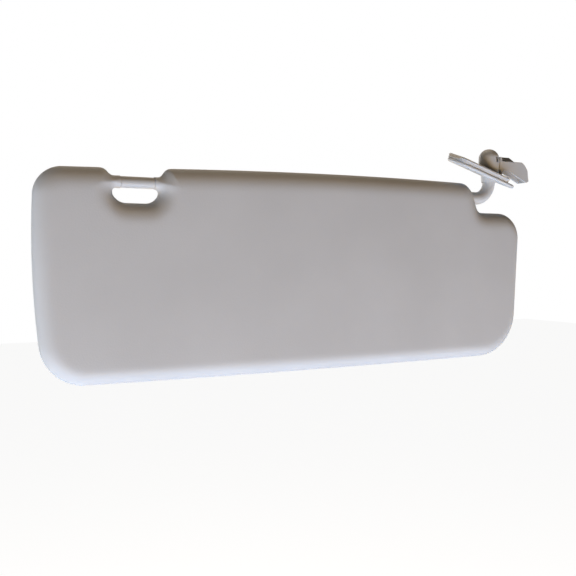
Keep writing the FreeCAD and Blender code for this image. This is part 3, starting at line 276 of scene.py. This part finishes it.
def whole_outline(spacing=1.2):
    """Points round the panel, and for each whether the side that starts there is a cut face."""
    count = len(CORNERS)
    places = [np.array(corner[:2], float) for corner in CORNERS]
    sides = [(places[i], places[(i + 1) % count], BOWED.get(i)) for i in range(count)]
    rounds = [round_corner(sides[i - 1], sides[i], CORNERS[i][2]) for i in range(count)]
    points, cuts = [], []
    for i in range(count):
        centre, first, last = rounds[i]
        radius = CORNERS[i][2]
        points.append(first)
        cuts.append(False)
        if radius:
            from_first, from_last = first - centre, last - centre
            sweep = math.acos(np.clip(from_first @ from_last / radius ** 2, -1, 1))
            steps = max(3, int(radius * sweep / spacing) + 1)
            for step in range(1, steps + 1):
                part = step / steps
                start_share = math.sin((1 - part) * sweep)
                end_share = math.sin(part * sweep)
                arm = (start_share * from_first + end_share * from_last) / math.sin(sweep)
                points.append(centre + arm)
                cuts.append(False)
        cuts[-1] = i in CUT_SIDES
        start, finish = last, rounds[(i + 1) % count][1]
        length = np.linalg.norm(finish - start)
        pieces = max(1, int(length / (spacing * (0.7 if i in CUT_SIDES else 1.6))))
        for step in range(1, pieces):
            point = start + step / pieces * (finish - start)
            depth, grow = inward(sides[i], point)
            points.append(point - depth * grow)
            cuts.append(i in CUT_SIDES)
    return np.array(points), np.array(cuts)


edge_points, edge_is_cut = whole_outline()
print("outline:", len(edge_points), "points,", np.round(np.ptp(edge_points, axis=0), 1), "mm")

# %% [markdown]
# ## The panel's skin
#
# A padded panel is flat in the middle and rolls over at its edge. How far it has rolled over
# depends only on how near the edge a point is, so one rule makes the whole surface: at the edge
# the skin stands upright, and it eases into the flat face some 12 mm in. Along the top, round
# the hole that a hand reaches into, and beside the arm, the roll is wider. The mesh has rows of
# points along the edge, where the surface turns fast, and a plain grid in the middle.

# %% Skin
ROLL = 12.0
WIDE_ROLL = 16.0
# The roll widens over this height, up to the rod's axis
TOP_STRIP = 45.0
# The middle's points stand this far apart
GRID_STEP = 4.0
# The necks' points stand this far apart, over this length from a neck's end
NECK_STEP = 1.1
NECK_PATCH = 22.0
# How far from a neck's end the skin swells from the neck to the panel's full thickness
NECK_REACH = 12.0
# Places where the roll is wider too: x, z, reach
WIDE_PLACES = [(-339.0, -16.0, 34.0), (-8.0, -13.0, 42.0)]
# Distances of the rows of points from the edge
ROWS = [0.04, 0.16, 0.36, 0.65, 1.05, 1.6, 2.3, 3.2, 4.3, 5.6, 7.2, 9.0, 11.2, 13.8, 17.0]


def distance_to_edge(points, edge, is_cut):
    """How far each point is from the outline, leaving out the cut faces."""
    starts = edge[~is_cut]
    ends = np.roll(edge, -1, axis=0)[~is_cut]
    along = ends - starts
    length2 = (along ** 2).sum(1)
    best = np.full(len(points), 1e9)
    for block in range(0, len(points), 2000):
        p = points[block:block + 2000, None, :]
        part = np.clip(((p - starts) * along).sum(2) / length2, 0, 1)
        near = starts + part[..., None] * along
        best[block:block + 2000] = np.sqrt(((p - near) ** 2).sum(2)).min(1)
    return best


def ease(value):
    """From 0 to 1 with a soft start and a soft end."""
    value = np.clip(value, 0, 1)
    return value * value * (3 - 2 * value)


def half_thickness(points, distance):
    """Half the panel's thickness at each point of its plan."""
    roll = np.full(len(points), ROLL)
    roll += (WIDE_ROLL - ROLL) * ease((points[:, 1] + TOP_STRIP) / TOP_STRIP)
    for x, z, reach in WIDE_PLACES:
        near = 1 - ease(np.hypot(points[:, 0] - x, points[:, 1] - z) / reach)
        roll = np.maximum(roll, ROLL + (WIDE_ROLL - ROLL) * ease(near * 1.6))
    height = np.full(len(points), PANEL_HALF)
    for end in NECK_ENDS:
        away = ease(np.hypot(points[:, 0] - end, points[:, 1]) / NECK_REACH)
        roll = NECK_RADIUS + (roll - NECK_RADIUS) * away
        height = NECK_RADIUS + (height - NECK_RADIUS) * away
    rise = 1 - np.clip(distance / roll, 0, 1)
    return height * np.sqrt(np.maximum(0, 1 - rise ** 2))


def plan_points(edge, is_cut):
    """Points over the panel's plan: its outline, rows beside it and a grid in the middle."""
    ahead = np.roll(edge, -1, axis=0) - np.roll(edge, 1, axis=0)
    across = np.stack([ahead[:, 1], -ahead[:, 0]], 1)
    across /= np.linalg.norm(across, axis=1)[:, None]
    beside_cut = is_cut | np.roll(is_cut, 1)
    found = []
    for depth in ROWS:
        picked = edge[~beside_cut] + across[~beside_cut] * depth
        # the rows that lie further in need only every other point
        if depth > 4:
            picked = picked[::2]
        # in a tight bend a row crosses itself, and those points go
        found.append(picked[distance_to_edge(picked, edge, is_cut) > depth * 0.93])
    low, high = edge.min(0), edge.max(0)
    xs = np.arange(low[0], high[0], GRID_STEP)
    zs = np.arange(low[1], high[1], GRID_STEP)
    grid = np.stack(np.meshgrid(xs, zs), -1).reshape(-1, 2)
    away = distance_to_edge(grid, edge, is_cut)
    found.append(grid[away > ROWS[-1] + 2.0])
    # closer points inside the two necks and where they join the face
    for end, way in zip(NECK_ENDS, (-1, 1)):
        xs = end + way * np.arange(0.7, NECK_PATCH, NECK_STEP)
        zs = np.arange(-9.9, 10, NECK_STEP)
        patch = np.stack(np.meshgrid(xs, zs), -1).reshape(-1, 2)
        found.append(patch[distance_to_edge(patch, edge, is_cut) > 1.0])
    return np.concatenate(found)


def inside(points, edge):
    """Whether each point lies inside the outline."""
    x, z = points[:, 0], points[:, 1]
    odd = np.zeros(len(points), bool)
    nearby = np.roll(edge, -1, axis=0)
    for (x0, z0), (x1, z1) in zip(edge, nearby):
        crosses = (z0 > z) != (z1 > z)
        if crosses.any():
            at = x0 + (z - z0) / (z1 - z0 if z1 != z0 else 1e-9) * (x1 - x0)
            odd ^= crosses & (x < at)
    return odd


def panel_mesh(name, edge, is_cut):
    """The whole skin: the plan's points, lifted to the front and to the back."""
    extra = plan_points(edge, is_cut)
    extra = extra[inside(extra, edge)]
    plan = np.concatenate([edge, extra])
    rim = [(i, (i + 1) % len(edge)) for i in range(len(edge))]
    verts, _, faces, _, _, _ = delaunay_2d_cdt(
        [Vector(p) for p in plan], rim, [list(range(len(edge)))], 1, 1e-5
    )
    verts = np.array([tuple(v) for v in verts])
    depth = half_thickness(verts, distance_to_edge(verts, edge, is_cut))
    on_rim = depth < 0.02
    mesh = bmesh.new()
    front, back = [], []
    for (x, z), y, shared in zip(verts, depth, on_rim):
        y = 0.0 if shared else y
        height = rod_height + z * MM
        front.append(mesh.verts.new((x * MM, -y * MM, height)))
        back.append(front[-1] if shared else mesh.verts.new((x * MM, y * MM, height)))
    for face in faces:
        if all(on_rim[i] for i in face):
            continue
        mesh.faces.new([front[i] for i in face])
        mesh.faces.new([back[i] for i in reversed(face)])
    # close the cut faces of the necks
    open_edges = [e for e in mesh.edges if e.is_boundary]
    bmesh.ops.holes_fill(mesh, edges=open_edges, sides=0)
    bmesh.ops.recalc_face_normals(mesh, faces=mesh.faces)
    data = bpy.data.meshes.new(name)
    mesh.to_mesh(data)
    open_left = sum(1 for e in mesh.edges if not e.is_manifold)
    mesh.free()
    print(name, len(data.vertices), "points,", len(data.polygons), "faces")
    print("open edges:", open_left)
    return data


skin = bpy.data.objects.new("panel_skin", panel_mesh("panel_skin", edge_points, edge_is_cut))
scene.collection.objects.link(skin)
for polygon in skin.data.polygons:
    polygon.use_smooth = True

# %% [markdown]
# ## The mouth that the arm goes into
#
# The arm enters the panel's nose through a round hole a little wider than the arm. A cylinder
# is cut out of the skin, which leaves the thin dark line round the arm that a real one has.

# %% Mouth
BORE_RADIUS = 5.95
BORE_DEPTH = 16.0
BORE_MIDDLE = -21.5


def apply_modifier(thing, modifier):
    """Make a modifier's result the object's own mesh."""
    bpy.context.view_layer.objects.active = thing
    thing.select_set(True)
    with bpy.context.temp_override(object=thing, active_object=thing):
        bpy.ops.object.modifier_apply(modifier=modifier.name)
    thing.select_set(False)


bore_mesh = bmesh.new()
bmesh.ops.create_cone(
    bore_mesh, cap_ends=True, segments=64,
    radius1=BORE_RADIUS * MM, radius2=BORE_RADIUS * MM, depth=BORE_DEPTH * MM,
)
bore_data = bpy.data.meshes.new("mouth_bore")
bore_mesh.to_mesh(bore_data)
bore_mesh.free()
bore = bpy.data.objects.new("mouth_bore", bore_data)
bore_place = Matrix.Translation((BORE_MIDDLE * MM, 0, rod_height))
bore.matrix_world = bore_place @ Matrix.Rotation(math.pi / 2, 4, "Y")
scene.collection.objects.link(bore)
bpy.context.view_layer.update()
cutting = skin.modifiers.new("mouth", "BOOLEAN")
cutting.operation = "DIFFERENCE"
cutting.solver = "EXACT"
cutting.object = bore
apply_modifier(skin, cutting)
bpy.data.objects.remove(bore)
print("skin after the mouth:", len(skin.data.polygons), "faces")

# %% [markdown]
# ## Finishes
#
# Each finish is built from noise, so it has grain and slight variation in every direction and
# needs no picture. A helper makes the part that all of them share: a colour that drifts a
# little, a roughness that drifts a little, and a fine bump.

# %% A helper for finishes
ROUGHNESS_DRIFT = 0.05


def finish(name, dark, light, roughness, grain, bump, drift=14.0, metallic=0.0):
    """A material whose colour drifts from dark to light, with a fine grain in its surface.

    grain is the size of the grain in metres, and bump its height in metres. drift is how many
    times a metre the colour changes.
    """
    material = bpy.data.materials.new(name)
    material.use_nodes = True
    nodes, links = material.node_tree.nodes, material.node_tree.links
    shader = nodes["Principled BSDF"]
    shader.inputs["Metallic"].default_value = metallic
    place = nodes.new("ShaderNodeTexCoord")
    broad = nodes.new("ShaderNodeTexNoise")
    broad.inputs["Scale"].default_value = drift
    broad.inputs["Detail"].default_value = 3
    fine = nodes.new("ShaderNodeTexNoise")
    fine.inputs["Scale"].default_value = 0.6 / grain
    fine.inputs["Detail"].default_value = 2
    cells = nodes.new("ShaderNodeTexVoronoi")
    cells.inputs["Scale"].default_value = 0.7 / grain
    for texture in (broad, fine, cells):
        links.new(place.outputs["Object"], texture.inputs["Vector"])
    ramp = nodes.new("ShaderNodeValToRGB")
    ramp.color_ramp.elements[0].position = 0.30
    ramp.color_ramp.elements[0].color = (*dark, 1)
    ramp.color_ramp.elements[1].position = 0.70
    ramp.color_ramp.elements[1].color = (*light, 1)
    links.new(broad.outputs["Fac"], ramp.inputs["Fac"])
    links.new(ramp.outputs["Color"], shader.inputs["Base Color"])
    rough = nodes.new("ShaderNodeMapRange")
    rough.inputs["To Min"].default_value = roughness - ROUGHNESS_DRIFT
    rough.inputs["To Max"].default_value = roughness + ROUGHNESS_DRIFT
    links.new(fine.outputs["Fac"], rough.inputs["Value"])
    links.new(rough.outputs["Result"], shader.inputs["Roughness"])
    height = nodes.new("ShaderNodeMath")
    height.operation = "MULTIPLY"
    links.new(cells.outputs["Distance"], height.inputs[0])
    links.new(fine.outputs["Fac"], height.inputs[1])
    bumped = nodes.new("ShaderNodeBump")
    bumped.inputs["Strength"].default_value = 0.6
    bumped.inputs["Distance"].default_value = bump
    links.new(height.outputs[0], bumped.inputs["Height"])
    links.new(bumped.outputs["Normal"], shader.inputs["Normal"])
    return material


# %% [markdown]
# The cover is soft-touch moulded vinyl with a very fine leather-like grain. The bracket, the
# arm's sleeve and the pin are harder plastic in the same light grey, a little glossier.

# %% Finishes of the visor
cover_grey = finish(
    "cover_vinyl", (0.545, 0.535, 0.530), (0.575, 0.565, 0.560),
    roughness=0.55, grain=0.0009, bump=0.00012,
)
bracket_grey = finish(
    "bracket_plastic", (0.54, 0.53, 0.52), (0.58, 0.57, 0.56),
    roughness=0.42, grain=0.0006, bump=0.00004, drift=30,
)
pin_grey = finish(
    "pin_plastic", (0.53, 0.52, 0.51), (0.56, 0.55, 0.54),
    roughness=0.45, grain=0.0005, bump=0.00002, drift=40,
)
acetal = finish(
    "acetal", (0.78, 0.77, 0.73), (0.82, 0.81, 0.78),
    roughness=0.38, grain=0.0006, bump=0.00002, drift=30,
)
foam = finish(
    "bead_foam", (0.74, 0.73, 0.68), (0.84, 0.83, 0.79),
    roughness=0.85, grain=0.0035, bump=0.0006, drift=60,
)
plated = finish(
    "zinc_plated_steel", (0.46, 0.46, 0.46), (0.60, 0.60, 0.61),
    roughness=0.32, grain=0.0007, bump=0.00002, drift=90, metallic=1.0,
)
blued = finish(
    "blued_spring_steel", (0.09, 0.10, 0.13), (0.15, 0.16, 0.20),
    roughness=0.30, grain=0.0006, bump=0.00002, drift=80, metallic=1.0,
)

BY_SLOT = {
    "cover": cover_grey, "foam": foam, "bracket_plastic": bracket_grey, "pin_plastic": pin_grey,
    "bearing_plastic": acetal, "steel": plated, "spring_steel": blued,
}
for part in frame["record"]["subparts"]:
    thing = frame["nodes"][part["node"]]
    thing.data.materials.clear()
    thing.data.materials.append(BY_SLOT[part["material_slot"]])
skin.data.materials.clear()
skin.data.materials.append(cover_grey)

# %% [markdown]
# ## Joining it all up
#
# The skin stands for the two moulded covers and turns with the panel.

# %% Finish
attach(skin, "panel")
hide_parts("front_cover", "rear_cover")
